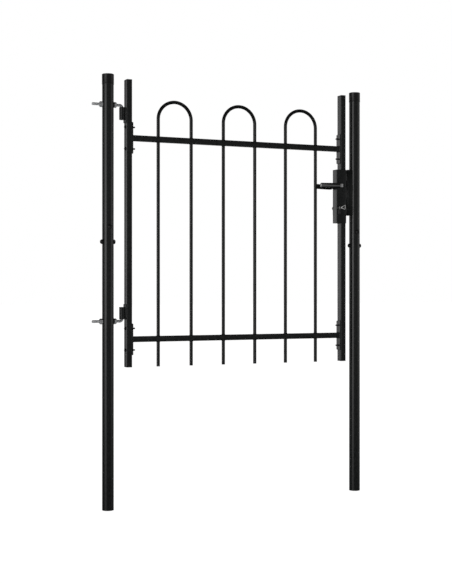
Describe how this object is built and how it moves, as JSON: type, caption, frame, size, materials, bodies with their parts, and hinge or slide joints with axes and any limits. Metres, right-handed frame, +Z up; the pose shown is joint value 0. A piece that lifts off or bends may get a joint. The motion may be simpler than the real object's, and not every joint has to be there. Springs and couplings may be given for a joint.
{
  "type": "garden gate",
  "caption": "Single-leaf hooped steel garden gate on two round posts, with adjustable L-bolt hinges and a lever lock with a key.",
  "frame": {"origin": "midway between the two post feet, at the level of their lower ends", "axes": "+Z up the posts, +X from the hinge post to the latch post, -Y the front, to which the leaf swings"},
  "size_m": [1.0559, 0.113, 1.5],
  "materials": {
    "powder_coat": "satin black powder coat with a fine texture",
    "black_plastic": "matt black moulded plastic",
    "dark_fastener": "blackened steel",
    "zinc": "zinc-plated thread",
    "satin_alloy": "satin cast alloy",
    "bright_steel": "nickel-plated steel"
  },
  "bodies": {
    "posts": {"hinge_post_lower_tube": "powder_coat", "hinge_post_upper_tube": "powder_coat", "hinge_post_sleeve": "dark_fastener", "hinge_post_lower_bolt": "dark_fastener", "hinge_post_lower_nut": "dark_fastener", "hinge_post_upper_bolt": "dark_fastener", "hinge_post_upper_nut": "dark_fastener", "hinge_post_cap": "black_plastic", "latch_post_lower_tube": "powder_coat", "latch_post_upper_tube": "powder_coat", "latch_post_sleeve": "dark_fastener", "latch_post_lower_bolt": "dark_fastener", "latch_post_lower_nut": "dark_fastener", "latch_post_upper_bolt": "dark_fastener", "latch_post_upper_nut": "dark_fastener", "latch_post_cap": "black_plastic", "lower_hinge_bolt": "zinc", "lower_hinge_outer_nut": "zinc", "lower_hinge_inner_nut": "zinc", "strike_lower_screw": "zinc", "lower_hinge_spacer": "black_plastic", "upper_hinge_bolt": "zinc", "upper_hinge_outer_nut": "zinc", "upper_hinge_inner_nut": "zinc", "strike_upper_screw": "zinc", "upper_hinge_spacer": "black_plastic", "strike_plate": "powder_coat"},
    "leaf": {"lower_hinge_barrel": "powder_coat", "lower_rail": "powder_coat", "upper_hinge_barrel": "powder_coat", "upper_rail": "powder_coat", "hinge_stile": "powder_coat", "latch_stile_lower": "powder_coat", "latch_stile_upper": "powder_coat", "hoop_1": "powder_coat", "hoop_2": "powder_coat", "hoop_3": "powder_coat", "lock_case": "powder_coat", "hinge_stile_bottom_plug": "black_plastic", "hinge_stile_top_plug": "black_plastic", "hinge_side_bolt_under_lower_rail": "dark_fastener", "hinge_side_bolt_over_lower_rail": "dark_fastener", "hinge_side_bolt_under_upper_rail": "dark_fastener", "hinge_side_bolt_over_upper_rail": "dark_fastener", "latch_stile_bottom_plug": "black_plastic", "latch_stile_top_plug": "black_plastic", "latch_side_bolt_under_lower_rail": "dark_fastener", "latch_side_bolt_over_lower_rail": "dark_fastener", "latch_side_bolt_under_upper_rail": "dark_fastener", "latch_side_bolt_over_upper_rail": "dark_fastener", "lock_cylinder": "dark_fastener", "follower_spring": "bright_steel"},
    "lever_set": {"front_lever": "satin_alloy", "rear_lever": "satin_alloy", "spindle": "bright_steel", "follower": "bright_steel"},
    "latch": {"latch_bolt": "bright_steel"},
    "dead_bolt": {"dead_bolt": "bright_steel"},
    "key_set": {"cylinder_plug": "bright_steel", "key": "bright_steel"}
  },
  "joints": [
    {"name": "leaf_swing", "type": "hinge", "parent": "posts", "child": "leaf", "pos_m": [-0.4355, 0, 1.022], "axis": [0, 0, -1], "range_deg": [0, 100]},
    {"name": "lever_turn", "type": "hinge", "parent": "leaf", "child": "lever_set", "pos_m": [0.411, 0, 1.144], "axis": [0, -1, 0], "range_deg": [0, 35], "stiffness_Nm_per_rad": 1.2, "springref_deg": -20.05},
    {"name": "latch_slide", "type": "slide", "parent": "leaf", "child": "latch", "axis": [-1, 0, 0], "range_m": [0, 0.008]},
    {"name": "key_turn", "type": "hinge", "parent": "leaf", "child": "key_set", "pos_m": [0.411, 0, 1.0625], "axis": [0, 1, 0], "range_deg": [0, 90]},
    {"name": "dead_bolt_slide", "type": "slide", "parent": "leaf", "child": "dead_bolt", "axis": [1, 0, 0], "range_m": [0, 0.014]}
  ],
  "couplings": [
    {"joint": "latch_slide", "follows": "lever_turn", "m_per_rad": 0.01309},
    {"joint": "key_turn", "follows": "dead_bolt_slide", "rad_per_m": 112.19}
  ]
}
